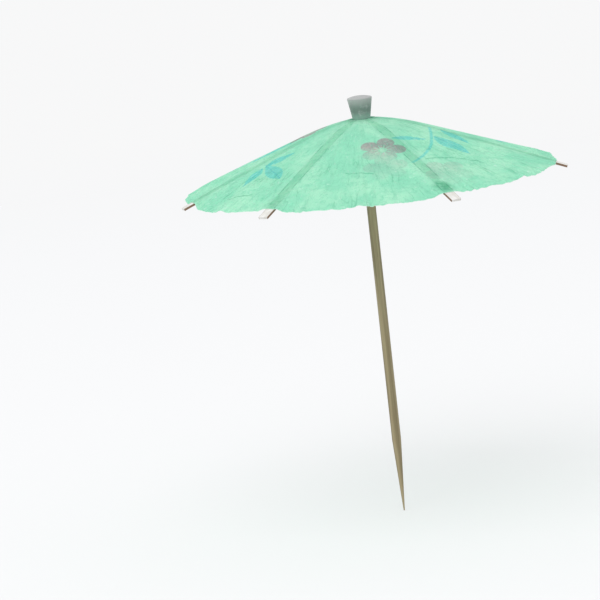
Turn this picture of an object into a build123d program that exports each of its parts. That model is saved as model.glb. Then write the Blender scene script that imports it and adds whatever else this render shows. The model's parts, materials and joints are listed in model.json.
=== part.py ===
from build123d import *
import os
from math import asin, atan2, cos, degrees, hypot, radians, sin, tan

# Cocktail umbrella pick, open. Millimetres, +Z up along the pick.
# The origin is the pick's point, and the viewer stands on the -Y side.

# Wooden pick: a long point, a straight shank, and a slimmer head that the top pieces push on to
pick_dia = 2.2
point_length = 17.7
point_dia = 0.3
head_dia = 2.0
head_taper = 0.8
head_start = 0.6
glue_gap = 0.03

# Paper canopy, as the section of its upper face: rounded from the crown to the knee, then straight
crown_height = 96.4
crown_radius = 3.3
crown_slope = 9.0
knee_radius = 15.0
rim_slope = 20.5
paper_radius = 44.5
paper_thick = 0.1
panel_inner_radius = 3.5

# The paper parts at the crease over each rib and at a seam near the middle of each gore. The seam lies
# a little past the middle, so that as the gore pleats upwards one edge rises clear over the other.
crease_gap = 0.05
lap_angle = 2.0
seam_gap = 0.3

# Card ribs under the paper, cut and glued on by hand, so their spacing and their ends are uneven
rib_azimuths = [-8, 31, 72, 112, 149, 198, 239, 294]
rib_trims = [0, 0, 0, 0, 0, 1.6, 0.6, 0]
bond_gap = 0.05
rib_thick = 0.5
rib_width = 2.3
rib_tip_radius = 47.8
neck_width = 0.7
neck_end = 3.6
shoulder_end = 9.0

# Thread hinges of the hub and the runner
hinge_radius = 2.2
eye_radius = 0.5
thread_dia = 0.4
thread_bend = 0.5
run_gap = 0.05
slot_side_gap = 0.1
slot_floor = 1.6
collar_dia = 5.6
hub_height = 1.5
runner_height = 1.8

# Struts from the runner to the ribs
strut_radius = 17.0
strut_thick = 0.4
strut_width = 0.7
ear_thick = 0.35
ear_gap = 0.1
pin_dia = 0.4

# Rolled paper sleeve, retaining ring and top cap
sleeve_dia = 3.3
ring_dia = 3.8
ring_height = 1.8
ring_edge = 0.25
stack_gap = 0.1
cap_height = 5.6
cap_base_dia = 4.2
cap_top_dia = 6.0
cap_dome = 0.5
cap_edge = 0.3
cap_bore_depth = 4.0

# Arc of the rounded part of the canopy's upper face, tangent to the straight part at the knee
arc_radius = (knee_radius - crown_radius) / (sin(radians(rim_slope)) - sin(radians(crown_slope)))
arc_x = crown_radius - arc_radius * sin(radians(crown_slope))
arc_z = crown_height - arc_radius * cos(radians(crown_slope))

# Depths below the paper's upper face, square to it
rib_top = paper_thick + bond_gap
rib_base = rib_top + rib_thick
pivot_depth = rib_base + ear_gap + eye_radius


def slope_at(radius):
    """Slope of the canopy's upper face at a distance from the axis, in degrees."""
    return degrees(asin((min(radius, knee_radius) - arc_x) / arc_radius))


def under(depth, radius):
    """Point of the section a depth square below the canopy's upper face at a radius."""
    slope = radians(slope_at(radius))
    height = arc_z + arc_radius * cos(slope) - max(radius - knee_radius, 0) * tan(slope)
    return radius - depth * sin(slope), height - depth * cos(slope)


def side_plane(azimuth):
    """Upright plane through the axis along an azimuth: x outwards, y up."""
    turn = radians(azimuth)
    return Plane(origin=(0, 0, 0), x_dir=(cos(turn), sin(turn), 0), z_dir=(sin(turn), -cos(turn), 0))


def plan_plane(azimuth, height=0):
    """Level plane with x along an azimuth."""
    turn = radians(azimuth)
    return Plane(origin=(0, 0, height), x_dir=(cos(turn), sin(turn), 0), z_dir=(0, 0, 1))


def canopy_band(azimuth, upper, lower, inner, outer):
    """Section of a layer that follows the canopy between two depths and two radii."""
    first = slope_at(inner)
    with BuildSketch(side_plane(azimuth)) as band:
        with BuildLine():
            CenterArc((arc_x, arc_z), arc_radius - upper, 90 - first, first - rim_slope)
            Polyline(
                under(upper, knee_radius), under(upper, outer), under(lower, outer), under(lower, knee_radius)
            )
            CenterArc((arc_x, arc_z), arc_radius - lower, 90 - first, first - rim_slope)
            Line(under(upper, inner), under(lower, inner))
        make_face()
    return band.sketch


# Hinge of the ribs in the hub, hinge of the struts in the ribs, and hinge of the struts in the runner,
# which lies as far below the ribs' strut hinge as the hub's hinge lies above it
hub_hinge = crown_height - rib_top - eye_radius
strut_x, strut_z = under(pivot_depth, strut_radius)
runner_hinge = 2 * strut_z - hub_hinge
strut_length = hypot(strut_x - hinge_radius, strut_z - runner_hinge)
strut_lift = degrees(atan2(strut_z - runner_hinge, strut_x - hinge_radius))

hub_base = crown_height - paper_thick - hub_height
runner_base = runner_hinge - runner_height / 2
sleeve_base = runner_base + runner_height + stack_gap
ring_base = runner_base - stack_gap - ring_height
shank_top = ring_base - head_start
slot_width = neck_width + 2 * slot_side_gap
eye_bore = thread_dia / 2 + run_gap
pin_bore = pin_dia / 2 + run_gap
head_bore = head_dia / 2 + glue_gap
slide_bore = pick_dia / 2 + run_gap
next_azimuths = rib_azimuths[1:] + [rib_azimuths[0] + 360]
gores = [after - before for before, after in zip(rib_azimuths, next_azimuths)]


def slotted_collar(base, height, bore, hinge):
    """Ring with a slot for each rib or strut, and a groove for the thread that hinges them."""
    with BuildPart() as collar:
        with BuildSketch(Plane.XY.offset(base)):
            Circle(collar_dia / 2)
            Circle(bore, mode=Mode.SUBTRACT)
        extrude(amount=height)
        for azimuth in rib_azimuths:
            with BuildSketch(plan_plane(azimuth, base)):
                with Locations((slot_floor, 0)):
                    Rectangle(collar_dia, slot_width, align=(Align.MIN, Align.CENTER))
            extrude(amount=height, mode=Mode.SUBTRACT)
        with BuildSketch(Plane.XY.offset(hinge - eye_bore)):
            Circle(collar_dia)
            Circle(hinge_radius - eye_bore, mode=Mode.SUBTRACT)
        extrude(amount=2 * eye_bore, mode=Mode.SUBTRACT)
    return collar.part


def hinge_thread(hinge):
    """Closed loop of thread whose straight runs are the hinge pins of one collar."""
    corners = []
    for azimuth, gore in zip(rib_azimuths, gores):
        turn = radians(azimuth + gore / 2)
        reach = hinge_radius / cos(radians(gore / 2))
        corners.append((reach * cos(turn), reach * sin(turn), hinge))
    with BuildPart() as thread:
        with BuildLine() as loop:
            FilletPolyline(*corners, radius=thread_bend, close=True)
        with BuildSketch(Plane(origin=loop.line @ 0, z_dir=loop.line % 0)):
            Circle(thread_dia / 2)
        sweep()
    return thread.part


def save(piece, name):
    """Label a finished piece and write its file."""
    piece.label = name
    export_step(piece, f"parts/{name}.step")


os.makedirs("parts", exist_ok=True)

# Wooden pick
head_top = crown_height + cap_bore_depth
with BuildPart() as pick:
    with BuildSketch(Plane.XZ):
        with BuildLine():
            Polyline(
                (0, 0),
                (point_dia / 2, 0),
                (pick_dia / 2, point_length),
                (pick_dia / 2, shank_top),
                (head_dia / 2, shank_top + head_taper),
                (head_dia / 2, head_top),
                (0, head_top),
                close=True,
            )
        make_face()
    revolve(axis=Axis.Z)
save(pick.part, "pick")

# Top cap: a small flared stopper with a domed top, pushed on over the paper
cap_top = crown_height + cap_height
with BuildPart() as top_cap:
    with BuildSketch(Plane.XZ):
        with BuildLine():
            Polyline(
                (0, cap_top),
                (0, head_top + glue_gap),
                (head_bore, head_top + glue_gap),
                (head_bore, crown_height),
                (cap_base_dia / 2, crown_height),
                (cap_top_dia / 2, cap_top - cap_dome),
            )
            dome_radius = ((cap_top_dia / 2) ** 2 + cap_dome**2) / (2 * cap_dome)
            RadiusArc((cap_top_dia / 2, cap_top - cap_dome), (0, cap_top), -dome_radius)
        make_face()
    revolve(axis=Axis.Z)
    rims = top_cap.edges().filter_by(lambda edge: edge.is_closed)
    fillet(rims.sort_by(SortBy.RADIUS)[-1], cap_edge)
save(top_cap.part, "top_cap")

# Crown of the paper, clamped between the cap and the hub
with BuildPart() as canopy_crown:
    with BuildSketch(Plane.XY.offset(crown_height - paper_thick)):
        Circle(crown_radius)
        Circle(head_bore, mode=Mode.SUBTRACT)
    extrude(amount=paper_thick)
save(canopy_crown.part, "canopy_crown")

# Hub and runner, each with its loop of thread
save(slotted_collar(hub_base, hub_height, head_bore, hub_hinge), "top_hub")
save(hinge_thread(hub_hinge), "hub_thread")
save(slotted_collar(runner_base, runner_height, slide_bore, runner_hinge), "runner")
save(hinge_thread(runner_hinge), "runner_thread")

# Rolled paper sleeve that stops the runner below the hub
with BuildPart() as spacer_sleeve:
    with BuildSketch(Plane.XY.offset(sleeve_base)):
        Circle(sleeve_dia / 2)
        Circle(head_bore, mode=Mode.SUBTRACT)
    extrude(amount=hub_base - sleeve_base)
save(spacer_sleeve.part, "spacer_sleeve")

# Ring that is pushed up under the runner to keep the canopy open
with BuildPart() as retainer_ring:
    with BuildSketch(Plane.XY.offset(ring_base)):
        Circle(ring_dia / 2)
        Circle(slide_bore, mode=Mode.SUBTRACT)
    extrude(amount=ring_height)
    rounded = retainer_ring.edges().filter_by(lambda edge: edge.is_closed).group_by(SortBy.RADIUS)[-1]
    fillet(rounded, ring_edge)
save(retainer_ring.part, "retainer_ring")

# Ribs with their strut pins, the struts, and the paper to the left and right of each rib
ears_width = strut_width + 2 * slot_side_gap + 2 * ear_thick
ear_height = pivot_depth - rib_base
for number, azimuth in enumerate(rib_azimuths, 1):
    side = side_plane(azimuth)
    eye = (hinge_radius, hub_hinge)
    pivot = (strut_x, strut_z)
    rib_end = rib_tip_radius - rib_trims[number - 1]

    with BuildPart() as rib:
        extrude(canopy_band(azimuth, rib_top, rib_base, neck_end, rib_end), rib_width / 2, both=True)
        with BuildSketch(plan_plane(azimuth)):
            with BuildLine():
                Polyline(
                    (0, neck_width / 2),
                    (neck_end, neck_width / 2),
                    (shoulder_end, rib_width / 2),
                    (rib_end, rib_width / 2),
                    (rib_end, -rib_width / 2),
                    (shoulder_end, -rib_width / 2),
                    (neck_end, -neck_width / 2),
                    (0, -neck_width / 2),
                    close=True,
                )
            make_face()
        extrude(amount=crown_height, mode=Mode.INTERSECT)
        with BuildSketch(side):
            with Locations(eye):
                Circle(eye_radius)
            with BuildLine():
                Polyline(
                    eye,
                    (hinge_radius, hub_hinge + eye_radius),
                    under(rib_top, neck_end),
                    under(rib_base, neck_end),
                    close=True,
                )
            make_face()
        extrude(amount=neck_width / 2, both=True)
        for offset in (-1, 1):
            with BuildSketch(side.offset(offset * (ears_width - ear_thick) / 2)):
                with Locations(pivot):
                    Circle(eye_radius)
                with Locations(Location((strut_x, strut_z, 0), (0, 0, -rim_slope))):
                    Rectangle(2 * eye_radius, ear_height, align=(Align.CENTER, Align.MIN))
            extrude(amount=ear_thick / 2, both=True)
        with BuildSketch(side):
            with Locations(eye):
                Circle(eye_bore)
            with Locations(pivot):
                Circle(pin_dia / 2)
        extrude(amount=rib_width, both=True, mode=Mode.SUBTRACT)
    save(rib.part, f"rib_{number}")

    with BuildPart() as strut_pin:
        with BuildSketch(side):
            with Locations(pivot):
                Circle(pin_dia / 2)
        extrude(amount=ears_width / 2, both=True)
    save(strut_pin.part, f"strut_pin_{number}")

    with BuildPart() as strut:
        with BuildSketch(side):
            with Locations((hinge_radius, runner_hinge), pivot):
                Circle(eye_radius)
            with Locations(Location((hinge_radius, runner_hinge, 0), (0, 0, strut_lift))):
                Rectangle(strut_length, strut_thick, align=(Align.MIN, Align.CENTER))
            with Locations((hinge_radius, runner_hinge)):
                Circle(eye_bore, mode=Mode.SUBTRACT)
            with Locations(pivot):
                Circle(pin_bore, mode=Mode.SUBTRACT)
        extrude(amount=strut_width / 2, both=True)
    save(strut.part, f"strut_{number}")

    for name, way, gore in (("left", -1, gores[number - 2]), ("right", 1, gores[number - 1])):
        span = gore / 2 + way * lap_angle
        turn = radians(span)
        reach = 2 * rib_tip_radius
        trim = seam_gap / 2
        with BuildPart() as panel:
            revolve(
                canopy_band(min(azimuth, azimuth + way * span), 0, paper_thick, panel_inner_radius, paper_radius),
                axis=Axis.Z,
                revolution_arc=span,
            )
            with BuildSketch(plan_plane(azimuth)):
                with BuildLine():
                    Polyline(
                        (trim / sin(turn) + crease_gap / tan(turn), way * crease_gap),
                        (reach, way * crease_gap),
                        (reach * cos(turn) + trim * sin(turn), way * (reach * sin(turn) - trim * cos(turn))),
                        close=True,
                    )
                make_face()
            extrude(amount=2 * crown_height, mode=Mode.INTERSECT)
        save(panel.part, f"canopy_{name}_{number}")
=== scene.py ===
# %% [markdown]
# # A paper cocktail umbrella
#
# A cocktail umbrella is a toy parasol on a pointed pick. Its canopy is one disc of thin printed paper,
# glued to card ribs that fold down along the pick. The CAD model brings the exact solids and their joints.
# This script gives them their looks: soft, wrinkled, see-through paper with its print, card, wood and
# thread. Everything is in metres.

# %% Load the frame
import json
import math

import bpy
import mathutils
import numpy as np
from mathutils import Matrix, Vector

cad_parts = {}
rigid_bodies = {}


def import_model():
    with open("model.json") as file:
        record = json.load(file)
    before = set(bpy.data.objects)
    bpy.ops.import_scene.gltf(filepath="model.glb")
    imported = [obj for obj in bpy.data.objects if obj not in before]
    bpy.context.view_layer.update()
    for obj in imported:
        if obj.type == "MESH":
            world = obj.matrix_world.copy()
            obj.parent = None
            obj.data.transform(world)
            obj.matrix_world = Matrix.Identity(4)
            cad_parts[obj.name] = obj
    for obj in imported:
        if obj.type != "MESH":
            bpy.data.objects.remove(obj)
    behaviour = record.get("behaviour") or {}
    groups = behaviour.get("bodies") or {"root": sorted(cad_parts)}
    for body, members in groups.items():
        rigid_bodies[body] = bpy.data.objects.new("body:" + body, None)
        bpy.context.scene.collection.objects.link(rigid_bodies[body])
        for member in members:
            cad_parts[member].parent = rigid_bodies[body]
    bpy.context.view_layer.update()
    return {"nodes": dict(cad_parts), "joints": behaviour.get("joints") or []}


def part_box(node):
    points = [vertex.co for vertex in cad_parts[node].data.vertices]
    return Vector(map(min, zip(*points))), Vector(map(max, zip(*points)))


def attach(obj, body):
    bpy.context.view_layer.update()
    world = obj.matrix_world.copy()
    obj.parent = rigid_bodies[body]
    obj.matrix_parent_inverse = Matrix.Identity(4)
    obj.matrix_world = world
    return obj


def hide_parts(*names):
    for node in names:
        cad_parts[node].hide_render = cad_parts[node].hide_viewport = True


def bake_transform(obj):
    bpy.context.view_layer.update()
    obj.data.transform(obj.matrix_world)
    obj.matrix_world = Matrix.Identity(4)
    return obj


for leftover in list(bpy.data.objects):
    bpy.data.objects.remove(leftover)
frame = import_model()

# %% [markdown]
# ## Where the ribs are
#
# Each rib hangs on a hinge beside the pick. The direction of that hinge, seen from above, is the direction
# of the rib, so the frame itself tells where the ribs lie. The paper between two ribs is called a gore.
# The ribs were glued on by hand, so the gores are not all equally wide.

# %% Directions of the ribs and widths of the gores
MM = 0.001
RIB_COUNT = 8
RIB_NUMBERS = range(1, RIB_COUNT + 1)
hinge_of = {joint["name"]: joint["pos_m"] for joint in frame["joints"] if joint["type"] == "hinge"}
fold_names = ["canopy_fold" if number == 1 else f"rib_{number}_fold" for number in RIB_NUMBERS]
hinge_places = np.array([hinge_of[name] for name in fold_names])
RIB_TURNS = np.unwrap(np.arctan2(hinge_places[:, 1], hinge_places[:, 0]))
TURN_MARKS = np.append(RIB_TURNS, RIB_TURNS[0] + 2 * np.pi)
GORES = np.diff(TURN_MARKS)
print("ribs at", np.degrees(RIB_TURNS).round(), "gores", np.degrees(GORES).round())

# %% [markdown]
# ## The section of the canopy
#
# Cut through the middle, the canopy is nearly level at the crown, rounds over to the knee, and runs
# straight on to the rim. A spline through a few points would do, but an arc that meets a line has the same
# few sizes as the solids, so the paper lies on its ribs with no fitting.

# %% Section of the canopy
CROWN_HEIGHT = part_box("canopy_crown")[1][2]
CROWN_RADIUS = 3.3 * MM
CROWN_SLOPE = math.radians(9)
KNEE_RADIUS = 15 * MM
RIM_SLOPE = math.radians(20.5)
PAPER_RADIUS = 44.5 * MM
PAPER_THICK = 0.1 * MM
ARC_RADIUS = (KNEE_RADIUS - CROWN_RADIUS) / (math.sin(RIM_SLOPE) - math.sin(CROWN_SLOPE))


def canopy_height(radius):
    """Height of the stretched paper's upper face at a distance from the pick.

    The sine of the slope grows evenly with the distance from the crown to the knee, which is an arc. Past
    the knee the slope stays, which is a line. Inside the crown the arc's end is carried on level."""
    lowest, highest = math.sin(CROWN_SLOPE), math.sin(RIM_SLOPE)
    slope = np.arcsin(np.clip(lowest + (radius - CROWN_RADIUS) / ARC_RADIUS, lowest, highest))
    arc_drop = ARC_RADIUS * (math.cos(CROWN_SLOPE) - np.cos(slope))
    line_drop = np.maximum(radius - KNEE_RADIUS, 0) * math.tan(RIM_SLOPE)
    return CROWN_HEIGHT - arc_drop - line_drop


print("rim height", round(float(canopy_height(np.array(PAPER_RADIUS))) / MM, 2), "mm")

# %% [markdown]
# ## Wrinkles, folds and a worn rim
#
# Thin paper that has been folded many times is never smooth. It sags a little between its ribs, keeps a
# ridge where it pleats halfway between them, and is crossed by fine wrinkles that run outwards. A cloth
# simulation would crumple it at random. The real wrinkles follow the folding, so they are built as waves
# that run round the canopy. Each wave fits a whole number of times, so the end meets the start, and all of
# them fade to nothing where the paper is glued down.

# %% Waves that run round the canopy
CREASE_MIDDLE = 0.6
CREASE_ROUNDING = 0.015


def smooth(value, start=0.0, end=1.0):
    """Runs from 0 at the start to 1 at the end, level at both.

    It is three times the square of the share of the way, less twice its cube."""
    share = np.clip((value - start) / (end - start), 0, 1)
    return share * share * (3 - 2 * share)


def waves_round(turn, radius, fewest, most, count, seed, drift=4):
    """Sum of waves that run round the canopy, about 1 high.

    Each is the cosine of a whole number times the direction, plus its own start and a drift that grows
    with the distance from the pick. The sum is divided by the root of how many there are."""
    dice = np.random.default_rng(seed)
    numbers = dice.integers(fewest, most, count)
    starts = dice.uniform(0, 2 * np.pi, count)
    drifts = dice.uniform(-drift, drift, count)
    angles = turn[..., None] * numbers + starts + drifts * (radius / PAPER_RADIUS)[..., None]
    return np.cos(angles).sum(-1) / math.sqrt(count)


def creases_round(turn, radius, **waves):
    """Sharp ridges between soft hollows, about 1 high: the sum of waves with its lower half folded upwards.

    The fold is the root of the square, rounded a little, and it is taken from its usual value."""
    swell = waves_round(turn, radius, **waves)
    return CREASE_MIDDLE - np.sqrt(swell * swell + CREASE_ROUNDING)


def across_gore(turn, radius):
    """Distance along the paper to the nearest rib and to the fold of the gore, and the gore's number."""
    from_first = (turn - TURN_MARKS[0]) % (2 * np.pi) + TURN_MARKS[0]
    place = np.interp(from_first, TURN_MARKS, np.arange(RIB_COUNT + 1.0))
    share = place % 1
    gore = np.clip(place.astype(int), 0, RIB_COUNT - 1)
    width = GORES[gore] * radius
    return np.minimum(share, 1 - share) * width, np.abs(share - 0.5) * width, gore


# %% Relief of the paper
GLUED_HALF = 1.2 * MM
GLUE_FADE = 3 * MM
GORE_SAGS = np.array([0.0, 0.3, 0.4, 0.3, 0.15, 0.6, 0.35, 0.0]) * MM
RIM_DROOP = 0.6 * MM
DROOP_SPAN = (0.8, 1.0)
SLACK_WAVES = dict(fewest=2, most=11, count=9, seed=3)
WRINKLE_HEIGHT = 0.3 * MM
WRINKLE_WAVES = dict(fewest=24, most=80, count=30, seed=5, drift=9)
PATCH_WAVES = dict(fewest=3, most=16, count=10, seed=7, drift=12)
CRINKLE_HEIGHT = 0.09 * MM
CRINKLE_WAVES = dict(fewest=70, most=170, count=40, seed=23, drift=25)
FOLD_RIDGE = 0.45 * MM
FOLD_WIDTH = 2.4 * MM
FOLD_SPAN = (0.65, 0.95)


def paper_relief(turn, radius):
    """How far the paper lies above its stretched section.

    A hollow between two ribs, as deep as one less the square of the share from its middle; a droop over
    the last fifth of the radius, more on the slack side than on the taut side; wrinkles that come and go,
    fine crinkles, and the ridge of the fold. All of it grows with the radius and fades out over the glued
    strip above a rib."""
    to_rib, to_fold, gore = across_gore(turn, radius)
    reach = radius / PAPER_RADIUS
    free = smooth(to_rib, GLUED_HALF, GLUED_HALF + GLUE_FADE)
    sag = -GORE_SAGS[gore] * (1 - (to_fold / (to_rib + to_fold)) ** 2)
    slack = 0.7 - 0.6 * np.cos(turn) + 0.5 * waves_round(turn, radius, **SLACK_WAVES)
    droop = -RIM_DROOP * smooth(reach, *DROOP_SPAN) * slack
    come_and_go = 0.3 + 0.7 * smooth(0.5 + 0.7 * waves_round(turn, radius, **PATCH_WAVES))
    wrinkles = WRINKLE_HEIGHT * come_and_go * creases_round(turn, radius, **WRINKLE_WAVES)
    crinkles = CRINKLE_HEIGHT * creases_round(turn, radius, **CRINKLE_WAVES)
    ridge = FOLD_RIDGE * smooth(reach, *FOLD_SPAN) * np.maximum(1 - to_fold / FOLD_WIDTH, 0)
    return reach * free * (sag + droop + wrinkles + crinkles + ridge)


def sheet_height(turn, radius):
    """Height of the paper's upper face: the stretched section plus the relief."""
    return canopy_height(radius) + paper_relief(turn, radius)


def sheet_normals(turn, radius):
    """Directions square to the sheet, from its rise over a small step outwards and a small step sideways."""
    step = 0.15 * MM
    aside = step / radius
    outwards = (sheet_height(turn, radius + step) - sheet_height(turn, radius - step)) / (2 * step)
    sideways = (sheet_height(turn + aside, radius) - sheet_height(turn - aside, radius)) / (2 * step)
    cos, sin = np.cos(turn), np.sin(turn)
    level = [sideways * sin - outwards * cos, -sideways * cos - outwards * sin]
    square = np.stack(level + [np.ones_like(turn)], -1)
    return square / np.linalg.norm(square, axis=-1, keepdims=True)


# %% Rim of the paper
RIM_OFF_CENTRE = 0.7 * MM
RIM_UNEVEN = 0.16 * MM
RIM_WAVES = dict(fewest=5, most=26, count=12, seed=11)
RIM_NICKS = dict(fewest=60, most=130, count=20, seed=13)
NICK_SHARE = 0.2
RIM_PULL = 0.35 * MM
PULL_REACH = 5 * MM


def rim_radius(turn):
    """Distance of the paper's edge from the pick.

    A disc glued on a little off its centre, cut unevenly, and pulled in at each rib."""
    level = np.full_like(turn, PAPER_RADIUS)
    to_rib, _, _ = across_gore(turn, level)
    nicks = NICK_SHARE * waves_round(turn, level, **RIM_NICKS)
    uneven = waves_round(turn, level, **RIM_WAVES) + nicks
    pull = RIM_PULL * (1 - smooth(to_rib, 0, PULL_REACH))
    return level + RIM_OFF_CENTRE * np.cos(turn) + RIM_UNEVEN * uneven - pull


rim_round = rim_radius(np.linspace(0, 2 * np.pi, 360))
print("rim from", round(rim_round.min() / MM, 1), "to", round(rim_round.max() / MM, 1), "mm from the pick")

# %% [markdown]
# ## One sheet, in eight stretches
#
# The canopy is a single sheet, but it pleats round eight ribs, and a mesh can bend round only one joint at
# a time. So the sheet is cut into eight stretches. Each lies over its rib, from the seam before it to the
# seam after it, and bends along the rib when the canopy folds. All of them read the same height and waves,
# so the edges meet, and they are shaded with the normals of the whole sheet, so that no seam shows.
#
# A stretch is a grid: rows from the crown to the rim, columns across the rib. A second grid one paper's
# thickness below, and a strip round the border, close the shell. The bend is spread over about half the
# width of the stretch: paper glued flat on a rib can't fold sharply in the glue, it curves up beside it.

# %% A closed shell from two grids
def shell_faces(rows, columns, round_about):
    """Quads of a shell, how many of them are sheet, and how many of the next ones are cut edge.

    The points of the upper grid are counted first, then those of the lower one. Upper quads come first,
    then the lower ones, turned over, then the walls of the first and last row, where the sheet is cut,
    then those of its sides. Where the grid runs round about, its first and last columns are joined and it
    has no sides."""
    index = np.arange(rows * columns).reshape(rows, columns)
    if round_about:
        index = np.concatenate([index, index[:, :1]], axis=1)
    under = index + rows * columns
    quads = np.stack([index[:-1, :-1], index[1:, :-1], index[1:, 1:], index[:-1, 1:]], -1).reshape(-1, 4)
    borders = [(index[-1], under[-1]), (index[0, ::-1], under[0, ::-1])]
    if not round_about:
        borders += [(index[::-1, -1], under[::-1, -1]), (index[:, 0], under[:, 0])]
    walls = [np.stack([top[:-1], low[:-1], low[1:], top[1:]], -1) for top, low in borders]
    faces = np.concatenate([quads, (quads + rows * columns)[:, ::-1], *walls])
    return faces, 2 * len(quads), len(walls[0]) + len(walls[1])


def shell_object(name, upper, lower, charts, normals=None, round_about=False):
    """Mesh object of a thin shell between two grids of points of the same shape (rows, columns, 3).

    The cut edges take the second material. charts names the UV maps, each with a grid of two values to a
    point. Normals, where given, shade the upper grid, and turned over the lower one."""
    faces, sheet_count, cut_count = shell_faces(*upper.shape[:2], round_about)
    numbers = np.arange(len(faces))
    is_wall = numbers >= sheet_count
    is_cut = is_wall & (numbers < sheet_count + cut_count)
    mesh = bpy.data.meshes.new(name)
    mesh.from_pydata(np.concatenate([upper.reshape(-1, 3), lower.reshape(-1, 3)]), [], faces.tolist())
    mesh.polygons.foreach_set("use_smooth", ~is_wall)
    mesh.polygons.foreach_set("material_index", is_cut.astype(np.int32))
    for chart, values in charts.items():
        flat = np.concatenate([values.reshape(-1, 2)] * 2).astype(np.float32)
        mesh.uv_layers.new(name=chart).data.foreach_set("uv", flat[faces.ravel()].ravel())
    mesh.update()
    if normals is not None:
        shading = np.concatenate([normals.reshape(-1, 3), -normals.reshape(-1, 3)])[faces]
        shading[is_wall] = 0
        mesh.normals_split_custom_set(shading.reshape(-1, 3).tolist())
    piece = bpy.data.objects.new(name, mesh)
    bpy.context.collection.objects.link(piece)
    return piece


# %% The eight stretches of paper
LAP = math.radians(2)
INNER_RADIUS = 2.35 * MM
ROWS, COLUMNS = 96, 107
PLAN_SPAN = 0.1
RIB_SPAN = 0.05


def plan_chart(points):
    """UV map of the flat plan: a square with the pick in its middle."""
    return points[..., :2] / PLAN_SPAN + 0.5


def paper_stretch(number):
    """Sheet over one rib, as a grid of distance from the pick and distance across the rib.

    A column keeps its share of the way from the rib to the seam; times the radius and the angle to that
    seam, it is the distance across the rib. The height is the canopy's section plus the relief."""
    own = RIB_TURNS[number - 1]
    before = GORES[number - 2] / 2 - LAP
    after = GORES[number - 1] / 2 + LAP
    share = np.linspace(0, 1, ROWS)[:, None]
    aside = np.linspace(-1, 1, COLUMNS)[None, :]
    rough_radius = INNER_RADIUS + (PAPER_RADIUS - INNER_RADIUS) * share
    across = np.where(aside < 0, before, after) * aside * rough_radius
    turn = own + across / rough_radius
    radius = INNER_RADIUS + (rim_radius(turn) - INNER_RADIUS) * share
    upper = np.stack([radius * np.cos(turn), radius * np.sin(turn), sheet_height(turn, radius)], -1)
    lower = upper - np.array([0, 0, PAPER_THICK])
    rib_chart = np.stack([across / RIB_SPAN + 0.5, radius / RIB_SPAN], -1)
    charts = {"plan": plan_chart(upper), "rib": rib_chart}
    piece = shell_object(f"paper_{number}", upper, lower, charts, sheet_normals(turn, radius))
    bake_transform(piece)
    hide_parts(f"canopy_left_{number}", f"canopy_right_{number}")
    steps = rough_radius[:, 0]
    slant = np.hypot(np.diff(steps), np.diff(canopy_height(steps)))
    cut_area = (before + after) * float((slant * (steps[1:] + steps[:-1]) / 2).sum())
    cut = ((before + after) * PAPER_RADIUS, float(slant.sum()))
    return piece, cut, cut_area


stretches = [paper_stretch(number) for number in RIB_NUMBERS]
for piece, cut, cut_area in stretches:
    print(piece.name, len(piece.data.polygons), "faces, cut", [round(side / MM, 1) for side in cut], "mm")

# %% [markdown]
# The crown is the small ring of paper round the cap. It stays with the pick when the ribs go down, so it
# is its own piece: a ring whose inner part is pinched under the cap and whose edge lies on the stretches.

# %% Crown of the paper
CROWN_ROWS, CROWN_COLUMNS = 14, 96
HEAD_RADIUS = 1.04 * MM
CAP_BASE_RADIUS = 2.1 * MM
CROWN_RISE = 0.25 * MM
CROWN_PINCH = 0.01 * MM
CROWN_LIFT = 0.06 * MM
CROWN_THICK = 0.05 * MM
CROWN_EDGE = 3.45 * MM
EDGE_UNEVEN = 0.12 * MM
EDGE_WAVES = dict(fewest=5, most=20, count=8, seed=17)
RIPPLE_HEIGHT = 0.02 * MM
RIPPLE_WAVES = dict(fewest=12, most=40, count=12, seed=19)
OFF_RIB = 0.9


def crown_ring():
    """Ring round the pick: level under the cap, then lifted on to the sheet, with a waved edge.

    On the rib chart it lies off to the side, so that no rib's band is painted on it."""
    turn = np.linspace(0, 2 * np.pi, CROWN_COLUMNS, endpoint=False)[None, :]
    share = np.linspace(0, 1, CROWN_ROWS)[:, None]
    edge = CROWN_EDGE + EDGE_UNEVEN * waves_round(turn, np.full_like(turn, PAPER_RADIUS), **EDGE_WAVES)
    radius = HEAD_RADIUS + (edge - HEAD_RADIUS) * share
    turn = np.broadcast_to(turn, radius.shape)
    lifted = smooth(radius, CAP_BASE_RADIUS, CAP_BASE_RADIUS + CROWN_RISE)
    on_sheet = canopy_height(radius) - CROWN_HEIGHT + CROWN_LIFT
    ripple = RIPPLE_HEIGHT * waves_round(turn, radius, **RIPPLE_WAVES)
    height = CROWN_HEIGHT - (1 - lifted) * CROWN_PINCH + lifted * (on_sheet + ripple)
    upper = np.stack([radius * np.cos(turn), radius * np.sin(turn), height], -1)
    lower = upper - np.array([0, 0, CROWN_THICK])
    rib_chart = np.stack([np.full_like(radius, OFF_RIB), radius / RIB_SPAN], -1)
    charts = {"plan": plan_chart(upper), "rib": rib_chart}
    return shell_object("paper_crown", upper, lower, charts, round_about=True)


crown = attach(crown_ring(), "pick")
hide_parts("canopy_crown")
print("crown", len(crown.data.polygons), "faces")

# %% [markdown]
# ## Small tools for materials
#
# A material is a tree of nodes, linked from socket to socket. Written out one call at a time it is long and
# hard to read, so a helper adds a node with its settings and links in one line, and others wrap the nodes
# that come back most often: sums, soft steps, mixed colours and noise. A socket knows the tree that it is
# in, so they find it there. A node group is a little tree with named inputs and outputs, built once and
# used by many materials.

# %% Node helpers
def fill(node, inputs):
    """Sets a node's sockets, each with a value or with an output to link."""
    for name, value in inputs.items():
        if isinstance(value, bpy.types.NodeSocket):
            node.id_data.links.new(value, node.inputs[name])
        else:
            node.inputs[name].default_value = value
    return node


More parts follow.
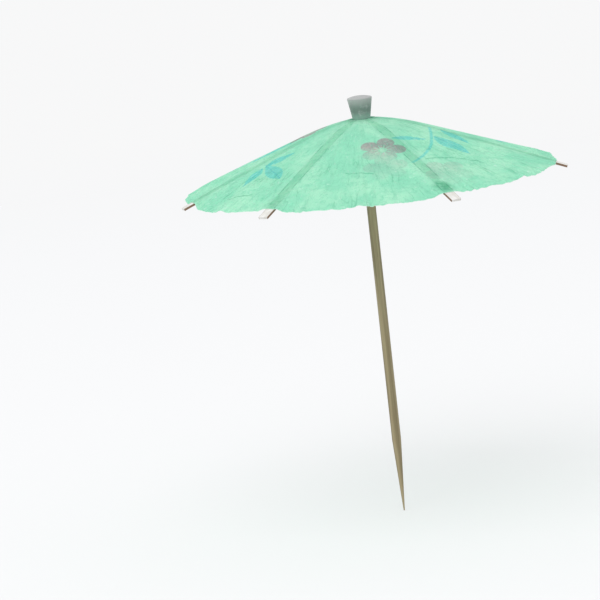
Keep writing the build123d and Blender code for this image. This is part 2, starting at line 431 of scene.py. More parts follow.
def add(tree, kind, inputs=None, **settings):
    """Adds a node: inputs are its sockets, and settings are its own options."""
    made = tree.nodes.new(kind)
    for name, value in settings.items():
        setattr(made, name, value)
    return fill(made, inputs or {})


def tree_of(*values):
    """Tree that the sockets among some values belong to."""
    return next(value.id_data for value in values if isinstance(value, bpy.types.NodeSocket))


def sums(operation, first, second=0.0):
    """Output of one Math node."""
    inputs = {0: first, 1: second}
    return add(tree_of(first, second), "ShaderNodeMath", inputs, operation=operation).outputs[0]


def times(first, second):
    """Product of two numbers."""
    return sums("MULTIPLY", first, second)


def vectors(operation, first, second=(0, 0, 0)):
    """Output of one Vector Math node: a number for a length or a distance, and a vector for the rest."""
    made = add(tree_of(first), "ShaderNodeVectorMath", {0: first, 1: second}, operation=operation)
    return made.outputs["Value" if operation in ("LENGTH", "DISTANCE") else "Vector"]


def split(vector):
    """The three numbers of a vector."""
    return add(tree_of(vector), "ShaderNodeSeparateXYZ", {0: vector}).outputs


def join(x, y, z):
    """A vector from three numbers."""
    return add(tree_of(x), "ShaderNodeCombineXYZ", {0: x, 1: y, 2: z}).outputs[0]


def ease(value, start, end):
    """0 at start and 1 at end, level at both, whichever of them is higher."""
    inputs = {"Value": value, "From Min": start, "From Max": end}
    made = add(tree_of(value), "ShaderNodeMapRange", inputs, interpolation_type="SMOOTHSTEP")
    return made.outputs["Result"]


def tint(share, under, over, way="MIX"):
    """One colour laid over another."""
    inputs = {0: share, 6: under, 7: over}
    return add(tree_of(share), "ShaderNodeMix", inputs, data_type="RGBA", blend_type=way).outputs[2]


def noise(place, scale, detail=3.0, roughness=0.55):
    """Even noise between 0 and 1."""
    inputs = {"Vector": place, "Scale": scale, "Detail": detail, "Roughness": roughness}
    return add(tree_of(place), "ShaderNodeTexNoise", inputs).outputs["Fac"]


def strongest(masks):
    """The highest of several masks."""
    highest = masks[0]
    for mask in masks[1:]:
        highest = sums("MAXIMUM", highest, mask)
    return highest


# %% Helpers for groups and materials
def new_group(name, inputs, outputs):
    """Empty node group with float sockets, or vector ones where the default is a tuple.

    It comes with the sockets of its inputs and with the node that takes its outputs."""
    tree = bpy.data.node_groups.new(name, "ShaderNodeTree")
    for label, default in inputs.items():
        kind = "NodeSocketVector" if isinstance(default, tuple) else "NodeSocketFloat"
        tree.interface.new_socket(label, in_out="INPUT", socket_type=kind).default_value = default
    for label in outputs:
        tree.interface.new_socket(label, in_out="OUTPUT", socket_type="NodeSocketFloat")
    return tree, tree.nodes.new("NodeGroupInput").outputs, tree.nodes.new("NodeGroupOutput")


def use(group, inputs):
    """Places a node group and gives its outputs."""
    return add(tree_of(*inputs.values()), "ShaderNodeGroup", inputs, node_tree=group).outputs


def new_material(name):
    """Material with a plain Principled shader, given as (material, tree, shader)."""
    made = bpy.data.materials.new(name)
    made.use_nodes = True
    return made, made.node_tree, made.node_tree.nodes["Principled BSDF"]


def bumps(height, depth, strength=0.4):
    """Normals of a fine relief, from its height, its depth in metres and how strongly it shows."""
    inputs = {"Strength": strength, "Distance": depth, "Height": height}
    return add(tree_of(height), "ShaderNodeBump", inputs).outputs[0]


# %% [markdown]
# ## The print: leaves, stems and blossoms
#
# The paper carries a common block print of bamboo leaves and five-petalled blossoms. Each shape is a small
# formula on the flat plan of the sheet, in millimetres. Move to the shape's middle, turn to its direction,
# and ask how far inside its outline a point lies. As a node group, one formula prints any number of leaves
# with crisp edges, however near the camera comes.

# %% Leaves and stems of the print
INK_EDGE = 0.16
LEAF_FULLER = 0.4
LEAF_VEIN = (0.22, 0.06)
STEM_WIDTH = 0.7
SHAPE = {"Place": (0, 0, 0), "Middle": (0, 0, 0), "Turn": 0.0}


def own_axes(given):
    """Distance along and across a printed shape, turned to its direction, and the offset from its middle."""
    offset = vectors("SUBTRACT", given["Place"], given["Middle"])
    inputs = {"Vector": offset, "Angle": times(given["Turn"], -1.0)}
    turned = add(tree_of(offset), "ShaderNodeVectorRotate", inputs, rotation_type="Z_AXIS").outputs[0]
    along, across, _ = split(turned)
    return along, across, offset


def along_shape(along, length):
    """Share of the way from a shape's middle to its end, one less its square, and whether it lies within."""
    share = sums("DIVIDE", times(along, 2.0), length)
    swell = sums("SUBTRACT", 1.0, times(share, share))
    within = sums("LESS_THAN", sums("ABSOLUTE", share), 1.0)
    return share, swell, within


def printed(inside, outside):
    """Mask of an outline with a thin soft edge, from two distances: of the outline, and of the point."""
    return ease(sums("SUBTRACT", inside, outside), -INK_EDGE, INK_EDGE)


def leaf_group():
    """Leaf: as wide as one less the square of the share along it, fuller at the stalk, with a vein."""
    sockets = {**SHAPE, "Length": 8.0, "Width": 2.5}
    tree, given, result = new_group("Printed leaf", sockets, ["Mask", "Vein"])
    along, across, _ = own_axes(given)
    share, swell, within = along_shape(along, given["Length"])
    fuller = sums("SUBTRACT", 1.0, times(share, LEAF_FULLER))
    half = times(times(swell, fuller), times(given["Width"], 0.5))
    aside = sums("ABSOLUTE", across)
    mask = times(printed(half, aside), within)
    fill(result, {"Mask": mask, "Vein": times(ease(aside, *LEAF_VEIN), mask)})
    return tree


def stem_group():
    """Stem: a line that bows away from its axis by one less the square of the share along it."""
    sockets = {**SHAPE, "Length": 8.0, "Width": STEM_WIDTH, "Bow": 0.5}
    tree, given, result = new_group("Printed stem", sockets, ["Mask"])
    along, across, _ = own_axes(given)
    _, swell, within = along_shape(along, given["Length"])
    bow = times(swell, given["Bow"])
    off = sums("ABSOLUTE", sums("SUBTRACT", across, bow))
    half = times(given["Width"], 0.5)
    fill(result, {"Mask": times(printed(half, off), within)})
    return tree


leaf_print, stem_print = leaf_group(), stem_group()
print("print groups:", leaf_print.name, stem_print.name)

# %% Blossoms of the print
PETALS = 5
PETAL_ROUND = 0.6
PETAL_DEPTH = 0.45
PRESSED = (0.35, -0.75)
HEART_SHARE = 0.2
RAY_SHARE = 0.22
RAY_EDGE = (0.5, 0.2)


def blossom_group():
    """Blossom: its edge lies at a share of its size that swings five times a turn.

    The heart is a small disc with short rays, nearly without ink. The stamp is pressed harder on one side:
    the ink grows along the blossom's own direction, and Fade is how much is missing on the far side."""
    sockets = {**SHAPE, "Size": 5.0, "Fade": 0.5}
    tree, given, result = new_group("Printed blossom", sockets, ["Petals", "Heart"])
    along, across, offset = own_axes(given)
    far = vectors("LENGTH", offset)
    way = sums("ARCTAN2", across, along)
    swing = sums("ABSOLUTE", sums("COSINE", times(way, PETALS / 2)))
    lobe = times(sums("POWER", swing, PETAL_ROUND), PETAL_DEPTH)
    edge = times(sums("ADD", lobe, 1 - PETAL_DEPTH), given["Size"])
    pressed = ease(sums("DIVIDE", along, given["Size"]), *PRESSED)
    ink = sums("SUBTRACT", 1.0, times(pressed, given["Fade"]))
    beat = sums("ABSOLUTE", sums("SINE", times(way, PETALS)))
    ray = times(ease(beat, *RAY_EDGE), RAY_SHARE)
    heart = times(sums("ADD", ray, HEART_SHARE), given["Size"])
    fill(result, {"Petals": times(printed(edge, far), ink), "Heart": printed(heart, far)})
    return tree


blossom_print = blossom_group()
print("print group:", blossom_print.name)

# %% [markdown]
# Where each shape lies on the sheet: middle x and y in millimetres from the pick, with the viewer on the
# minus y side, then its direction in degrees and its sizes. The front follows the object; the back carries
# the same kind of sprays. A few creases run across the paper, where it was once folded the wrong way; they
# are thin stems without ink.

# %% Layout of the print
LEAVES = [  # x, y, direction, length, width
    (-19.8, -11.1, 5, 7.2, 3.0), (-26.7, -15.3, 234, 8.2, 3.0), (-21.8, -16.9, 106, 12.6, 3.6),
    (10.6, -14.3, 10, 8.4, 2.0), (20.4, -14.4, -44, 11.0, 4.6), (21.6, -6.6, -52, 11.0, 3.2),
    (13.0, 17.5, 60, 10.0, 2.8), (18.5, 22.0, 20, 9.5, 2.6), (9.0, 25.5, 105, 9.5, 2.8),
    (27.0, 15.0, -10, 8.0, 2.4), (-16.0, 17.0, 140, 10.0, 2.8), (-23.4, 1.2, 172, 13.0, 3.8),
    (-18.0, 25.0, 100, 9.0, 2.6), (-33.0, 9.0, 190, 8.5, 2.5), (34.0, 8.5, 50, 8.0, 2.4),
]
STEMS = [  # x, y, direction, length, bow
    (15.7, -8.9, 270, 12.0, 0.2), (13.2, -20.8, 248, 13.5, 1.1),
    (15.5, 21.0, 55, 17.0, 0.8), (-19.0, 18.0, 145, 17.0, -0.8),
]
BLOSSOMS = [  # x, y, direction of the stronger ink, size, strength of the ink, share missing on the far side
    (4.1, -20.6, 75, 5.5, 1.0, 0.7), (4.6, -29.0, 100, 5.4, 0.24, 0.6), (18.6, -30.5, 140, 5.8, 0.26, 0.7),
    (31.0, 24.0, 30, 5.4, 0.9, 0.4), (23.0, 31.0, 70, 5.4, 0.8, 0.5), (-4.0, 27.0, 0, 5.6, 0.9, 0.4),
    (-7.5, 36.5, 40, 5.2, 0.75, 0.5), (-30.0, 21.0, 15, 5.6, 0.9, 0.5), (-13.0, 2.3, 200, 4.8, 1.0, 0.2),
]
# Creases across the paper: painted shade darkens the paper along them.
CROSS_CREASES = [  # x, y, direction, length, bow
    (19.8, -23.4, 12, 12.5, 0.5), (-1.6, -30.4, -14, 6.6, 0.2), (-29.5, -24.0, 150, 7.0, 0.2),
    (12.0, 33.0, 160, 9.0, 0.3), (-27.0, 29.0, 45, 8.0, -0.3),
]
print(len(LEAVES), "leaves,", len(STEMS), "stems,", len(BLOSSOMS), "blossoms")

# %% [markdown]
# ## The paper itself
#
# Tissue paper lets light through. A Translucent shader mixed into the Principled one does that: light that
# falls on the back comes out of the front, so the card ribs show as darker bands. The bands and the lines
# along their edges are also painted faintly into the colour, as painted shade. Fine creases run outwards.
# Their noise is read on the direction from the pick, which makes streaks with no seam, and on the distance
# at a slower pace.

# %% Creases of the paper as a node group
STREAKS = dict(pace=0.010, scale=24.0, detail=4.0, roughness=0.6)
RIDGES = dict(pace=0.006, scale=15.0, detail=2.0, roughness=0.45)
FLECKS = dict(pace=0.022, scale=34.0, detail=2.0, roughness=0.5)


def crease_group():
    """Marks that run out from the pick.

    The place is split into its direction, a point on a circle, and its distance. Noise that changes
    quickly with the direction and slowly with the distance gives streaks. Where such noise passes its
    middle value lies a thin crease line, and where a finer one is highest lies a pale fleck. Crumple is
    the distance of plain noise from its middle value, which is nothing along crooked lines, and Fibre is
    plain fine noise."""
    outputs = ["Streak", "Line", "Fleck", "Crumple", "Fibre"]
    tree, given, result = new_group("Paper creases", {"Place": (0, 0, 0)}, outputs)
    place = given["Place"]
    far = vectors("LENGTH", place)
    x, y, _ = split(vectors("NORMALIZE", place))

    def drawn_out(pace, **look):
        """Noise on the direction, with the distance beside it at a pace per millimetre."""
        return noise(join(x, y, times(far, pace)), **look)

    def off_middle(value):
        """Distance of noise from its middle value."""
        return sums("ABSOLUTE", sums("SUBTRACT", value, 0.5))

    some = ease(noise(place, 0.13, 2.0), 0.45, 0.62)
    line = ease(off_middle(drawn_out(**RIDGES)), 0.02, 0.002)
    fill(result, {
        "Streak": drawn_out(**STREAKS),
        "Line": times(line, some),
        "Fleck": ease(drawn_out(**FLECKS), 0.62, 0.74),
        "Crumple": off_middle(noise(place, 0.38, 3.0, 0.6)),
        "Fibre": noise(place, 2.6, 4.0, 0.7),
    })
    return tree


crease_marks = crease_group()
print("crease group:", len(crease_marks.nodes), "nodes")

# %% [markdown]
# The colour is built up in layers: first the cloudy dye, with painted shade along its creases, then painted
# shade over the ribs, near their ends and round the cap, then the ink. Ink and painted shade multiply the
# colour below them, as wet dye does.

# %% Dye of the paper, and painted shade along its creases
GREEN = (0.42, 0.86, 0.66, 1)
GREEN_PALE = (0.56, 0.92, 0.73, 1)
# Painted shade of the wrinkles, laid along the streaks and crumples.
GREEN_WRINKLE_SHADE = (0.30, 0.75, 0.55, 1)
GREEN_WHITE = (0.72, 0.96, 0.84, 1)
# Painted shade along the creases and along the edges of the bands over the ribs.
LINE_SHADE = (0.60, 0.80, 0.73, 1)
CLOUD_SPAN = (0.36, 0.66)
CROSS_WIDTH = 0.35
# Streak, Line and Crumple are painted shade along wrinkles and creases; Fleck and Fibre are pale paper
# marks.
DYE_AND_SHADE_MARKS = [  # mark, where it starts and where it is full, strength, colour, way of mixing
    ("Streak", (0.52, 0.74), 0.6, GREEN_WRINKLE_SHADE, "MIX"),
    ("Fleck", None, 0.6, GREEN_WHITE, "MIX"),
    ("Line", None, 0.7, LINE_SHADE, "MULTIPLY"),
    ("Fibre", (0.60, 0.78), 0.35, GREEN_PALE, "MIX"),
    ("Crumple", (0.03, 0.0), 0.5, GREEN_WRINKLE_SHADE, "MIX"),
]


def paper_place(tree):
    """Place on the flat plan of the sheet, in millimetres from the pick."""
    plan = add(tree, "ShaderNodeUVMap", uv_map="plan").outputs[0]
    from_pick = vectors("SUBTRACT", plan, (0.5, 0.5, 0))
    return vectors("MULTIPLY", from_pick, (PLAN_SPAN / MM, PLAN_SPAN / MM, 0))


def shape(group, place, x, y, turn, **sizes):
    """Outputs of one printed shape: its middle, its direction in degrees, and its own sizes."""
    return use(group, {"Place": place, "Middle": (x, y, 0), "Turn": math.radians(turn), **sizes})


def stem_mask(place, rows, width):
    """Mask of a list of stems of the same width."""
    masks = []
    for x, y, turn, length, bow in rows:
        stem = shape(stem_print, place, x, y, turn, Length=length, Width=width, Bow=bow)
        masks.append(stem["Mask"])
    return strongest(masks)


def dyed_and_shaded_colour(place, marks, crossed):
    """Cloudy green dye with pale flecks and fibres, and painted shade along its creases, also those across
    it.
    """
    cloud = noise(place, 0.09, 3.0, 0.6)
    colour = tint(ease(cloud, *CLOUD_SPAN), GREEN, GREEN_PALE)
    for name, span, strength, over, way in DYE_AND_SHADE_MARKS:
        mask = ease(marks[name], *span) if span else marks[name]
        colour = tint(times(mask, strength), colour, over, way)
    # Painted shade along the creases across the sheet.
    return tint(crossed, colour, LINE_SHADE, "MULTIPLY")


# %% Painted shade over the ribs, near their ends and round the cap
# Painted shade of the rib behind the paper, which keeps light from coming through.
RIB_BAND_SHADE = (0.85, 0.99, 0.93, 1)
# Painted shade near the ribs' ends and round the foot of the cap.
RIB_END_AND_CAP_SHADE = (0.42, 0.72, 0.60, 1)
RIB_TAPER = {"From Min": 3.6, "From Max": 9.0, "To Min": 0.35, "To Max": 1.15}
BAND_EDGE = (0.15, -0.15)
# Width of the painted shade lines along the edges of a band.
EDGE_LINE_SPAN = (0.24, 0.04)
# Painted shade where the paper lifts off the ribs' ends: distance from the pick, span, strength per rib.
RIB_END_SHADE_RADIUS = 41.5
RIB_END_SHADE_SPAN = (3.4, 0.4)
RIB_END_SHADES = {1: 0.25, 3: 0.5, 4: 0.3, 5: 0.6, 6: 0.3, 7: 0.4, 8: 1.0}
# Painted shadow of the cap on the paper round its foot: where it starts and where it is full, in mm.
CAP_SHADOW_SPAN = (5.2, 1.6)


def rib_end_shade(place):
    """Mask of painted shade where the paper lifts off the ribs' ends, some stronger than others, blotchy."""
    spots = []
    for number, strength in RIB_END_SHADES.items():
        turn = float(RIB_TURNS[number - 1])
        middle = (RIB_END_SHADE_RADIUS * math.cos(turn), RIB_END_SHADE_RADIUS * math.sin(turn), 0)
        far = vectors("DISTANCE", place, middle)
        spots.append(times(ease(far, *RIB_END_SHADE_SPAN), strength))
    blotchy = ease(noise(place, 0.7, 3.0), 0.3, 0.6)
    return times(strongest(spots), blotchy)


def shaded_by_ribs_and_cap(place, colour):
    """Colour with painted shade: over each rib, at its edges in patches, near its end, and round the cap.

    The rib chart gives the distance across the rib and from the pick; the rib's half width follows from
    the second, and how far a point lies beyond it places the band and its lines."""
    tree = tree_of(place)
    aside, out, _ = split(add(tree, "ShaderNodeUVMap", uv_map="rib").outputs[0])
    across = times(sums("ABSOLUTE", sums("SUBTRACT", aside, 0.5)), RIB_SPAN / MM)
    radius = times(out, RIB_SPAN / MM)
    half = add(tree, "ShaderNodeMapRange", {"Value": radius, **RIB_TAPER}).outputs[0]
    beyond = sums("SUBTRACT", across, half)
    # Painted shade over the rib, then patchy painted shade lines along the band's edges.
    colour = tint(ease(beyond, *BAND_EDGE), colour, RIB_BAND_SHADE, "MULTIPLY")
    line = ease(sums("ABSOLUTE", beyond), *EDGE_LINE_SPAN)
    patchy = ease(noise(place, 0.22, 2.0), 0.42, 0.66)
    colour = tint(times(line, patchy), colour, LINE_SHADE, "MULTIPLY")
    # Painted shade near the ribs' ends.
    colour = tint(rib_end_shade(place), colour, RIB_END_AND_CAP_SHADE, "MULTIPLY")
    # Painted shadow of the cap on the paper round its foot.
    at_cap = ease(vectors("LENGTH", place), *CAP_SHADOW_SPAN)
    return tint(at_cap, colour, RIB_END_AND_CAP_SHADE, "MULTIPLY")


# %% Ink on the paper
LEAF_INK = (0.59, 0.90, 1.02, 1)
LEAF_LINE = (0.82, 0.90, 0.95, 1)
BLOSSOM_INK = (1.08, 0.60, 0.72, 1)
HEART_INK = (1.02, 0.92, 0.92, 1)
BLOT_SPAN = (0.26, 0.5)


def inked_colour(place, colour):
    """Colour with the print: leaves and stems with their veins, then blossoms with pale hearts.

    The ink is blotted by fine noise, as it is where a block doesn't touch the paper everywhere."""
    blot = ease(noise(place, 1.4, 4.0, 0.7), *BLOT_SPAN)
    leaves = []
    for x, y, turn, length, width in LEAVES:
        leaves.append(shape(leaf_print, place, x, y, turn, Length=length, Width=width))
    stalks = stem_mask(place, STEMS, STEM_WIDTH)
    leaf_mask = strongest([leaf["Mask"] for leaf in leaves] + [stalks])
    colour = tint(times(leaf_mask, blot), colour, LEAF_INK, "MULTIPLY")
    veins = strongest([leaf["Vein"] for leaf in leaves])
    colour = tint(veins, colour, LEAF_LINE, "MULTIPLY")
    petals, hearts = [], []
    for x, y, turn, size, strength, fade in BLOSSOMS:
        flower = shape(blossom_print, place, x, y, turn, Size=size, Fade=fade)
        petals.append(times(flower["Petals"], strength))
        hearts.append(times(flower["Heart"], strength))
    ink = tint(strongest(hearts), BLOSSOM_INK, HEART_INK)
    return tint(times(strongest(petals), blot), colour, ink, "MULTIPLY")


# %% The printed paper
EDGE_PALE = (0.72, 0.95, 0.80, 1)
SEE_THROUGH = 0.38
PAPER_RELIEF = {"Streak": 0.7, "Fibre": 0.12, "Line": -0.2, "Crumple": 2.2}
CROSS_RELIEF = -0.3
PAPER_DEPTH = 0.4 * MM


def paper_material():
    """Printed tissue paper, lit from both sides."""
    made, tree, shader = new_material("printed_paper")
    place = paper_place(tree)
    marks = use(crease_marks, {"Place": place})
    crossed = stem_mask(place, CROSS_CREASES, CROSS_WIDTH)
    colour = dyed_and_shaded_colour(place, marks, crossed)
    colour = shaded_by_ribs_and_cap(place, colour)
    colour = inked_colour(place, colour)
    height = times(crossed, CROSS_RELIEF)
    for name, weight in PAPER_RELIEF.items():
        height = sums("ADD", height, times(marks[name], weight))
    relief = bumps(height, PAPER_DEPTH, 0.5)
    fill(shader, {"Base Color": colour, "Normal": relief, "Roughness": 0.82, "Specular IOR Level": 0.25})
    through = add(tree, "ShaderNodeBsdfTranslucent", {"Color": colour, "Normal": relief})
    both = add(tree, "ShaderNodeMixShader", {0: SEE_THROUGH, 1: shader.outputs[0], 2: through.outputs[0]})
    fill(tree.nodes["Material Output"], {"Surface": both.outputs[0]})
    return made


def paper_edge_material():
    """Cut edge of the paper, where the dye has not soaked in: pale, with a few fibres."""
    made, tree, shader = new_material("paper_edge")
    grain = noise(add(tree, "ShaderNodeUVMap", uv_map="plan").outputs[0], 900.0, 3.0)
    fill(shader, {"Base Color": tint(grain, GREEN_PALE, EDGE_PALE), "Roughness": 0.9})
    return made


paper, paper_edge = paper_material(), paper_edge_material()
for piece in [crown] + [piece for piece, _, _ in stretches]:
    piece.data.materials.append(paper)
    piece.data.materials.append(paper_edge)
print("paper nodes:", len(paper.node_tree.nodes))

# %% [markdown]
# ## Wood, card, plastic and thread
#
# The rest of the umbrella keeps its CAD solids and gets materials. Wood and card show fibres that run one
# way, so they share a group: noise on coordinates that are squeezed along the fibre. Thread uses it too,
# unsqueezed. A Mapping node in each material turns the pattern to lie along its piece.

# %% Fibres as a node group
FINER = 4.0


def fibre_group():
    """Long fibres: noise that changes slowly along the first axis and quickly along the other two."""
    sockets = {"Place": (0, 0, 0), "Fineness": 1.0, "Length": 10.0}
    tree, given, result = new_group("Long fibres", sockets, ["Broad", "Fine"])
    x, y, z = split(given["Place"])
    drawn = join(sums("DIVIDE", x, given["Length"]), y, z)
    finer = times(given["Fineness"], FINER)
    fill(result, {"Broad": noise(drawn, given["Fineness"], 3.0), "Fine": noise(drawn, finer, 4.0, 0.65)})
    return tree


def along_piece(tree, turn=(0, 0, 0)):
    """Object coordinates turned so that the first axis runs along the piece."""
    place = add(tree, "ShaderNodeTexCoord").outputs["Object"]
    return add(tree, "ShaderNodeMapping", {"Vector": place, "Rotation": turn}).outputs[0]


def dress(material, *nodes):
    """Gives CAD nodes a material."""
    for node in nodes:
        frame["nodes"][node].data.materials.clear()
        frame["nodes"][node].data.materials.append(material)


fibres = fibre_group()
print("fibre group:", len(fibres.nodes), "nodes")

# %% Bamboo, collars and thread
UPRIGHT = (0, math.pi / 2, 0)


def fibre_material(name, turn, dark, pale, fineness, length, roughness, depth):
    """Plain fibrous finish: a dark and a pale colour mixed by broad fibres, and fine fibres in relief."""
    made, tree, shader = new_material(name)
    marks = use(fibres, {"Place": along_piece(tree, turn), "Fineness": fineness, "Length": length})
    colour = tint(ease(marks["Broad"], 0.34, 0.66), dark, pale)
    colour = tint(times(ease(marks["Fine"], 0.55, 0.75), 0.35), colour, dark)
    relief = bumps(marks["Fine"], depth)
    fill(shader, {"Base Color": colour, "Normal": relief, "Roughness": roughness})
    return made


bamboo = fibre_material("bamboo", UPRIGHT, (0.25, 0.20, 0.104, 1), (0.43, 0.35, 0.203, 1),
                        fineness=1500, length=45, roughness=0.55, depth=0.06 * MM)
collar_wood = fibre_material("collar_wood", UPRIGHT, (0.40, 0.28, 0.15, 1), (0.60, 0.46, 0.28, 1),
                             fineness=900, length=10, roughness=0.6, depth=0.05 * MM)
cotton = fibre_material("cotton_thread", (0, 0, 0), (0.55, 0.50, 0.42, 1), (0.80, 0.76, 0.68, 1),
                        fineness=3000, length=1, roughness=0.9, depth=0.04 * MM)
dress(bamboo, "pick")
dress(collar_wood, "top_hub", "runner")
dress(cotton, "hub_thread", "runner_thread", *[f"strut_pin_{number}" for number in RIB_NUMBERS])
print("fibrous materials:", bamboo.name, collar_wood.name, cotton.name)

# %% [markdown]
# The ribs and struts are strips of card. Their faces are pale, and their cut sides are browner. Each rib
# lies in its own direction, so each has its own turn about the pick, and the distance from the middle of the
# strip then tells face from cut side.

# %% Card of the ribs and struts
CARD_SHADE = (0.74, 0.72, 0.66, 1)
CARD_PALE = (0.90, 0.89, 0.86, 1)
CARD_BROWN = (0.24, 0.15, 0.095, 1)
CARD_CUT = (1.05 * MM, 1.14 * MM)
CARD_DEPTH = 0.05 * MM


def card_material(number):
    """Card strip along one rib: pale fibrous faces and browner cut sides."""
    made, tree, shader = new_material(f"card_{number}")
    place = along_piece(tree, (0, 0, -float(RIB_TURNS[number - 1])))
    marks = use(fibres, {"Place": place, "Fineness": 700.0, "Length": 8.0})
    colour = tint(ease(marks["Broad"], 0.3, 0.7), CARD_SHADE, CARD_PALE)
    aside = sums("ABSOLUTE", split(place)[1])
    colour = tint(ease(aside, *CARD_CUT), colour, CARD_BROWN)
    relief = bumps(marks["Fine"], CARD_DEPTH)
    fill(shader, {"Base Color": colour, "Normal": relief, "Roughness": 0.85})
    return made


for number in RIB_NUMBERS:
    dress(card_material(number), f"rib_{number}", f"strut_{number}")
print("card materials:", RIB_COUNT)

# %% [markdown]
# The cap is a little matt grey stopper, with painted light at its top, painted shade on its side, and a
# faint green at its foot. The sleeve is a strip of plain paper rolled round the pick, so its edge climbs as
# a spiral.
# The ring is soft white plastic.

# %% Cap
CAP_RISE = 5.2 * MM
CAP_FOOT = (0.30, 0.48, 0.40, 1)
# Painted shade on the cap's side.
CAP_SIDE_SHADE = (0.18, 0.245, 0.215, 1)
# Painted light on the cap's top.
CAP_TOP_LIGHT = (0.44, 0.45, 0.44, 1)
CAP_RUBBED = (0.55, 0.58, 0.56, 1)


def cap_material():
    """Matt grey: green at the foot, painted shade above it, painted light at the top, and rubbed in patches.
    """
    made, tree, shader = new_material("cap_matt")
    place = along_piece(tree)
    upwards = {"Value": split(place)[2], "From Min": CROWN_HEIGHT, "From Max": CROWN_HEIGHT + CAP_RISE}
    share = add(tree, "ShaderNodeMapRange", upwards).outputs[0]
    # Green at the foot, painted shade on the side above it, and painted light towards the top.
    colour = tint(ease(share, 0.0, 0.4), CAP_FOOT, CAP_SIDE_SHADE)
    colour = tint(ease(share, 0.45, 1.0), colour, CAP_TOP_LIGHT)
    rubbed = noise(place, 600.0, 4.0, 0.6)
    colour = tint(times(ease(rubbed, 0.5, 0.72), 0.5), colour, CAP_RUBBED)
    relief = bumps(rubbed, 0.1 * MM, 0.35)
    fill(shader, {"Base Color": colour, "Normal": relief, "Roughness": 0.6})
    return made


dress(cap_material(), "top_cap")

# %% Sleeve and ring
SLEEVE_CLIMB = 2.6 * MM
SLEEVE_SHADE = (0.52, 0.50, 0.44, 1)
SLEEVE_PALE = (0.72, 0.70, 0.64, 1)
SLEEVE_EDGE = (0.28, 0.26, 0.22, 1)
RING_SHADE = (0.66, 0.66, 0.62, 1)
RING_PALE = (0.80, 0.80, 0.77, 1)


def sleeve_material():
    """Rolled paper: a thin dark edge that climbs round the tube, and faint fibres.

    The height in turns of the spiral, less the direction in turns, is the same all along the edge."""
    made, tree, shader = new_material("rolled_paper")
    place = along_piece(tree)
    x, y, z = split(place)
    turns = sums("DIVIDE", sums("ARCTAN2", y, x), 2 * math.pi)
    climb = sums("FRACT", sums("SUBTRACT", sums("DIVIDE", z, SLEEVE_CLIMB), turns))
    face = times(ease(climb, 0.0, 0.06), ease(climb, 1.0, 0.90))
    colour = tint(noise(place, 1500.0, 4.0, 0.65), SLEEVE_SHADE, SLEEVE_PALE)
    colour = tint(face, SLEEVE_EDGE, colour)
    relief = bumps(face, 0.08 * MM, 0.6)
    fill(shader, {"Base Color": colour, "Normal": relief, "Roughness": 0.8})
    return made


def ring_material():
    """Soft white plastic with a faint mottle."""
    made, tree, shader = new_material("ring_soft_plastic")
    mottle = noise(along_piece(tree), 900.0, 3.0)
    fill(shader, {"Base Color": tint(mottle, RING_SHADE, RING_PALE), "Roughness": 0.42})
    return made


dress(sleeve_material(), "spacer_sleeve")
dress(ring_material(), "retainer_ring")
print("materials:", len(bpy.data.materials))

# %% [markdown]
# ## Floor and light
#
# The umbrella stands on plain pale ground under soft, even light. The world gives most of it, and a large
# lamp from the upper left models the form. The ground should read as white without any more light on the
# object, so Light Path tells the rays of the camera from the rays that light things: for the camera the
# floor is paler, and further out it gives way to an even white world. Seen from below, the floor is left
# out, so that it never hides the object.

# %% Floor
FLOOR_HALF = 6.0
FLOOR_LIT = (0.72, 0.72, 0.72, 1)
FLOOR_SEEN = (0.97, 0.97, 0.97, 1)
FLOOR_FADE = (0.25, 0.9)
FLOOR_CLEAR = 0.4


def seen_rays(tree):
    """1 for rays of the camera, also by way of gloss or glass, and 0 for rays that light other things."""
    paths = add(tree, "ShaderNodeLightPath").outputs
    seen = ("Is Camera Ray", "Is Glossy Ray", "Is Transmission Ray")
    return strongest([paths[name] for name in seen])


def floor_material():
    """Pale ground, whiter and partly clear to the camera, that fades into the backdrop further out."""
    made, tree, shader = new_material("pale_floor")
    seen = seen_rays(tree)
    ground = tint(seen, FLOOR_LIT, FLOOR_SEEN)
    fill(shader, {"Base Color": ground, "Roughness": 1.0, "Specular IOR Level": 0.0})
    far = vectors("LENGTH", add(tree, "ShaderNodeTexCoord").outputs["Object"])
    behind = add(tree, "ShaderNodeNewGeometry").outputs["Backfacing"]
    faded = sums("MAXIMUM", ease(far, *FLOOR_FADE), FLOOR_CLEAR)
    clear = times(sums("MAXIMUM", faded, behind), seen)
    nothing = add(tree, "ShaderNodeBsdfTransparent")
    both = add(tree, "ShaderNodeMixShader", {0: clear, 1: shader.outputs[0], 2: nothing.outputs[0]})
    fill(tree.nodes["Material Output"], {"Surface": both.outputs[0]})
    return made


floor_mesh = bpy.data.meshes.new("floor")
floor_corners = FLOOR_HALF * np.array([(-1, -1, 0), (1, -1, 0), (1, 1, 0), (-1, 1, 0)])
floor_mesh.from_pydata(floor_corners, [], [(0, 1, 2, 3)])
floor_mesh.materials.append(floor_material())
floor = bpy.data.objects.new("floor", floor_mesh)
bpy.context.collection.objects.link(floor)

# %% World and lamp
SKY = (0.97, 0.98, 1.0, 1)
SKY_STRENGTH = 0.82
BACKDROP = (0.935, 0.937, 0.94, 1)

world = bpy.data.worlds.new("studio")
world.use_nodes = True
sky = world.node_tree
light = fill(sky.nodes["Background"], {"Color": SKY, "Strength": SKY_STRENGTH})
white = add(sky, "ShaderNodeBackground", {"Color": BACKDROP, "Strength": 1.0})
both = add(sky, "ShaderNodeMixShader", {0: seen_rays(sky), 1: light.outputs[0], 2: white.outputs[0]})
fill(sky.nodes["World Output"], {"Surface": both.outputs[0]})
bpy.context.scene.world = world

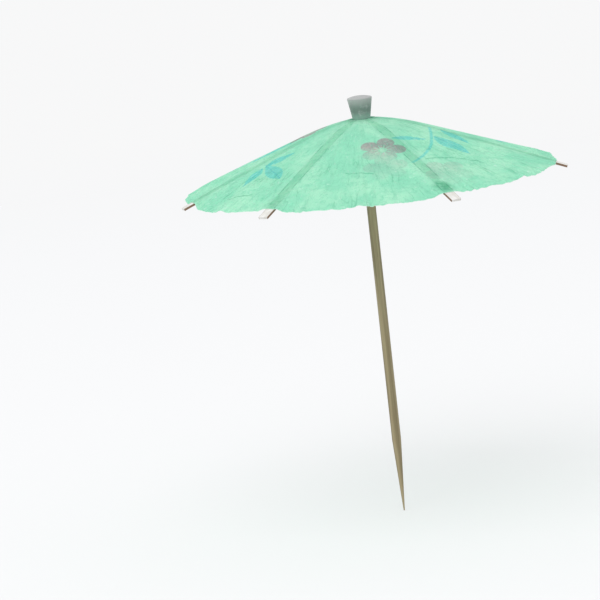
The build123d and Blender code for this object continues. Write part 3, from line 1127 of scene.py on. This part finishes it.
LAMP_PLACE = (-0.55, -1.2, 1.9)
LAMP_AIM = (0, 0, 0.08)
lamp = bpy.data.lights.new("key_lamp", "AREA")
lamp.size = 2.2
lamp.energy = 19.0
key_lamp = bpy.data.objects.new("key_lamp", lamp)
away = np.array(LAMP_PLACE) - np.array(LAMP_AIM)
tilt = math.atan2(math.hypot(away[0], away[1]), away[2])
key_lamp.location = LAMP_PLACE
key_lamp.rotation_euler = (tilt, 0, math.atan2(away[1], away[0]) + math.pi / 2)
bpy.context.collection.objects.link(key_lamp)
bpy.context.scene.view_settings.view_transform = "Standard"
print("lamp tilted by", round(math.degrees(tilt)), "degrees")

# %% [markdown]
# ## Camera
#
# The view is nearly level, a little above the rim, through a long lens. The umbrella leans in the picture;
# since it stands straight in its own frame, the camera is rolled instead. The aim lies beside the
# umbrella, so that it comes to stand in its place in the picture.

# %% Camera
IMAGE_PIXELS = 600
VIEW_DISTANCE = 0.7
VIEW_AZIMUTH = math.radians(-0.39)
VIEW_ELEVATION = math.radians(10.05)
VIEW_ROLL = math.radians(-6.5)
PIXELS_PER_METRE = 4152.0
MIDDLE_IN_PICTURE = (382.0, 304.9)
MIDDLE = np.array([0, 0, 0.051])


def rolled_axes(ahead, roll):
    """Right and up of a camera that looks ahead, turned about its view by the roll."""
    right = np.cross(ahead, (0, 0, 1))
    right = right / np.linalg.norm(right)
    up = np.cross(right, ahead)
    return math.cos(roll) * right + math.sin(roll) * up, math.cos(roll) * up - math.sin(roll) * right


level_part = math.cos(VIEW_ELEVATION)
forward = np.array([math.sin(VIEW_AZIMUTH) * level_part, math.cos(VIEW_AZIMUTH) * level_part,
                    -math.sin(VIEW_ELEVATION)])
place = MIDDLE - VIEW_DISTANCE * forward
right, up = rolled_axes(forward, VIEW_ROLL)
off_right = (MIDDLE_IN_PICTURE[0] - IMAGE_PIXELS / 2) / PIXELS_PER_METRE
off_down = (MIDDLE_IN_PICTURE[1] - IMAGE_PIXELS / 2) / PIXELS_PER_METRE
aim = MIDDLE - off_right * right + off_down * up
ahead = (aim - place) / np.linalg.norm(aim - place)
right, up = rolled_axes(ahead, VIEW_ROLL)

lens = bpy.data.cameras.new("camera")
lens.sensor_width = 36
lens.lens = lens.sensor_width * PIXELS_PER_METRE * VIEW_DISTANCE / IMAGE_PIXELS
lens.clip_start = 0.01
camera = bpy.data.objects.new("camera", lens)
matrix = np.eye(4)
matrix[:3] = np.stack([right, up, -ahead, place], axis=1)
camera.matrix_world = mathutils.Matrix(matrix.tolist())
bpy.context.collection.objects.link(camera)
bpy.context.scene.camera = camera
print("lens", round(lens.lens, 1), "mm")
